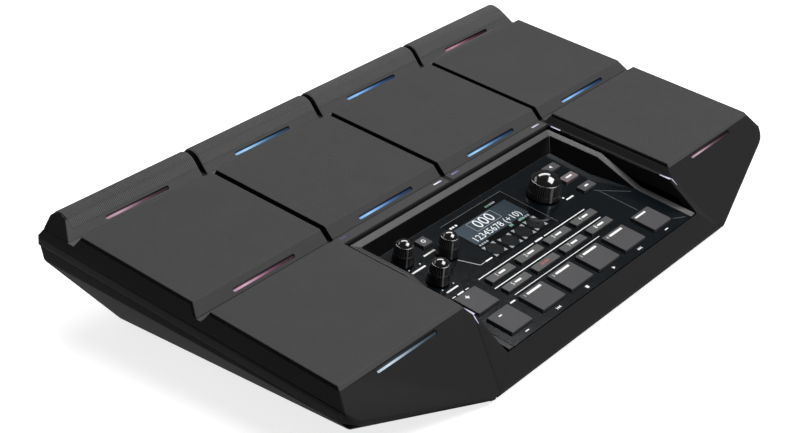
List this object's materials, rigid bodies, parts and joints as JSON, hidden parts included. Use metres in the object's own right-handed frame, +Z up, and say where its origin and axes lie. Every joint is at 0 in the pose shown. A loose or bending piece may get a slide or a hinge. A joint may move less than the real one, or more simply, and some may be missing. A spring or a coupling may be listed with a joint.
{
  "type": "electronic percussion pad",
  "caption": "Table-top electronic percussion pad: a wedge case with rubber bars and flat pads round a sunken panel of keys, knobs and a display, with sockets at the rear.",
  "frame": {"origin": "on the table, below the middle of the case", "axes": "+X to the player's right, +Y to the rear, +Z up"},
  "size_m": [0.4636, 0.2698, 0.0735],
  "materials": {
    "case": "fine moulded grain",
    "pad_rubber": "fine woven grain",
    "bezel": "satin",
    "panel": "gloss",
    "display": "gloss, lit",
    "key_plastic": "satin",
    "knob_plastic": "satin with gloss top",
    "light": "diffusing, lit",
    "foot_rubber": "matte",
    "steel": "zinc plated",
    "brass": "turned",
    "board": "solder mask",
    "component": "moulded",
    "plunger": "moulded"
  },
  "bodies": {
    "housing": {"bottom_case": "case", "top_case": "case", "bar_pad_1": "pad_rubber", "bar_pad_2": "pad_rubber", "bar_pad_3": "pad_rubber", "bar_pad_4": "pad_rubber", "mid_pad_1": "pad_rubber", "mid_pad_2": "pad_rubber", "mid_pad_3": "pad_rubber", "mid_pad_4": "pad_rubber", "front_pad_left": "pad_rubber", "front_pad_right": "pad_rubber", "pad_plates": "steel", "piezo_discs": "brass", "pad_light_bars": "light", "corner_lights": "light", "well_bezel": "bezel", "control_panel": "panel", "display_lens": "display", "display_module": "component", "panel_board": "board", "key_switches": "component", "encoder_body": "component", "level_pots": "component", "main_board": "board", "audio_jacks": "component", "data_socket": "steel", "power_inlet": "component", "rubber_feet": "foot_rubber", "case_screws": "steel", "stand_inserts": "brass"},
    "function_key_1": {"function_key_1": "key_plastic"},
    "function_key_2": {"function_key_2": "key_plastic"},
    "function_key_3": {"function_key_3": "key_plastic"},
    "function_key_4": {"function_key_4": "key_plastic"},
    "function_key_5": {"function_key_5": "key_plastic"},
    "function_key_6": {"function_key_6": "key_plastic"},
    "function_key_7": {"function_key_7": "key_plastic"},
    "function_key_8": {"function_key_8": "key_plastic"},
    "track_key_1": {"track_key_1": "key_plastic"},
    "track_key_2": {"track_key_2": "key_plastic"},
    "track_key_3": {"track_key_3": "key_plastic"},
    "track_key_4": {"track_key_4": "key_plastic"},
    "track_key_5": {"track_key_5": "key_plastic"},
    "menu_key_1": {"menu_key_1": "key_plastic"},
    "menu_key_2": {"menu_key_2": "key_plastic"},
    "menu_key_3": {"menu_key_3": "key_plastic"},
    "plus_key": {"plus_key": "key_plastic"},
    "minus_key": {"minus_key": "key_plastic"},
    "click_key": {"click_key": "key_plastic"},
    "level_1": {"level_knob_1": "knob_plastic", "level_shaft_1": "steel"},
    "level_2": {"level_knob_2": "knob_plastic", "level_shaft_2": "steel"},
    "level_3": {"level_knob_3": "knob_plastic", "level_shaft_3": "steel"},
    "encoder_plunger": {"encoder_plunger": "plunger"},
    "data_dial": {"data_knob": "knob_plastic", "encoder_shaft": "steel"},
    "power_button": {"power_button": "key_plastic"}
  },
  "joints": [
    {"name": "function_key_1_press", "type": "slide", "parent": "housing", "child": "function_key_1", "axis": [0, 0.1392, -0.9903], "range_m": [0, 0.001], "stiffness_N_per_m": 1200},
    {"name": "function_key_2_press", "type": "slide", "parent": "housing", "child": "function_key_2", "axis": [0, 0.1392, -0.9903], "range_m": [0, 0.001], "stiffness_N_per_m": 1200},
    {"name": "function_key_3_press", "type": "slide", "parent": "housing", "child": "function_key_3", "axis": [0, 0.1392, -0.9903], "range_m": [0, 0.001], "stiffness_N_per_m": 1200},
    {"name": "function_key_4_press", "type": "slide", "parent": "housing", "child": "function_key_4", "axis": [0, 0.1392, -0.9903], "range_m": [0, 0.001], "stiffness_N_per_m": 1200},
    {"name": "function_key_5_press", "type": "slide", "parent": "housing", "child": "function_key_5", "axis": [0, 0.1392, -0.9903], "range_m": [0, 0.001], "stiffness_N_per_m": 1200},
    {"name": "function_key_6_press", "type": "slide", "parent": "housing", "child": "function_key_6", "axis": [0, 0.1392, -0.9903], "range_m": [0, 0.001], "stiffness_N_per_m": 1200},
    {"name": "function_key_7_press", "type": "slide", "parent": "housing", "child": "function_key_7", "axis": [0, 0.1392, -0.9903], "range_m": [0, 0.001], "stiffness_N_per_m": 1200},
    {"name": "function_key_8_press", "type": "slide", "parent": "housing", "child": "function_key_8", "axis": [0, 0.1392, -0.9903], "range_m": [0, 0.001], "stiffness_N_per_m": 1200},
    {"name": "track_key_1_press", "type": "slide", "parent": "housing", "child": "track_key_1", "axis": [0, 0.1392, -0.9903], "range_m": [0, 0.001], "stiffness_N_per_m": 1200},
    {"name": "track_key_2_press", "type": "slide", "parent": "housing", "child": "track_key_2", "axis": [0, 0.1392, -0.9903], "range_m": [0, 0.001], "stiffness_N_per_m": 1200},
    {"name": "track_key_3_press", "type": "slide", "parent": "housing", "child": "track_key_3", "axis": [0, 0.1392, -0.9903], "range_m": [0, 0.001], "stiffness_N_per_m": 1200},
    {"name": "track_key_4_press", "type": "slide", "parent": "housing", "child": "track_key_4", "axis": [0, 0.1392, -0.9903], "range_m": [0, 0.001], "stiffness_N_per_m": 1200},
    {"name": "track_key_5_press", "type": "slide", "parent": "housing", "child": "track_key_5", "axis": [0, 0.1392, -0.9903], "range_m": [0, 0.001], "stiffness_N_per_m": 1200},
    {"name": "menu_key_1_press", "type": "slide", "parent": "housing", "child": "menu_key_1", "axis": [0, 0.1392, -0.9903], "range_m": [0, 0.001], "stiffness_N_per_m": 1200},
    {"name": "menu_key_2_press", "type": "slide", "parent": "housing", "child": "menu_key_2", "axis": [0, 0.1392, -0.9903], "range_m": [0, 0.001], "stiffness_N_per_m": 1200},
    {"name": "menu_key_3_press", "type": "slide", "parent": "housing", "child": "menu_key_3", "axis": [0, 0.1392, -0.9903], "range_m": [0, 0.001], "stiffness_N_per_m": 1200},
    {"name": "plus_key_press", "type": "slide", "parent": "housing", "child": "plus_key", "axis": [0, 0.1392, -0.9903], "range_m": [0, 0.001], "stiffness_N_per_m": 1200},
    {"name": "minus_key_press", "type": "slide", "parent": "housing", "child": "minus_key", "axis": [0, 0.1392, -0.9903], "range_m": [0, 0.001], "stiffness_N_per_m": 1200},
    {"name": "click_key_press", "type": "slide", "parent": "housing", "child": "click_key", "axis": [0, 0.1392, -0.9903], "range_m": [0, 0.001], "stiffness_N_per_m": 1200},
    {"name": "level_1_turn", "type": "hinge", "parent": "housing", "child": "level_1", "pos_m": [-0.086, -0.02989, 0.03446], "axis": [0, -0.1392, 0.9903], "range_deg": [-140, 140]},
    {"name": "level_2_turn", "type": "hinge", "parent": "housing", "child": "level_2", "pos_m": [-0.0575, -0.04277, 0.03265], "axis": [0, -0.1392, 0.9903], "range_deg": [-140, 140]},
    {"name": "level_3_turn", "type": "hinge", "parent": "housing", "child": "level_3", "pos_m": [-0.0848, -0.05663, 0.0307], "axis": [0, -0.1392, 0.9903], "range_deg": [-140, 140]},
    {"name": "data_knob_press", "type": "slide", "parent": "housing", "child": "encoder_plunger", "axis": [0, 0.1392, -0.9903], "range_m": [0, 0.0006], "stiffness_N_per_m": 3000},
    {"name": "data_knob_turn", "type": "hinge", "parent": "encoder_plunger", "child": "data_dial", "pos_m": [0.0464, -0.04445, 0.03241], "axis": [0, -0.1392, 0.9903], "continuous": true},
    {"name": "power_button_press", "type": "slide", "parent": "housing", "child": "power_button", "axis": [0, -1, 0], "range_m": [0, 0.002], "stiffness_N_per_m": 1500}
  ]
}
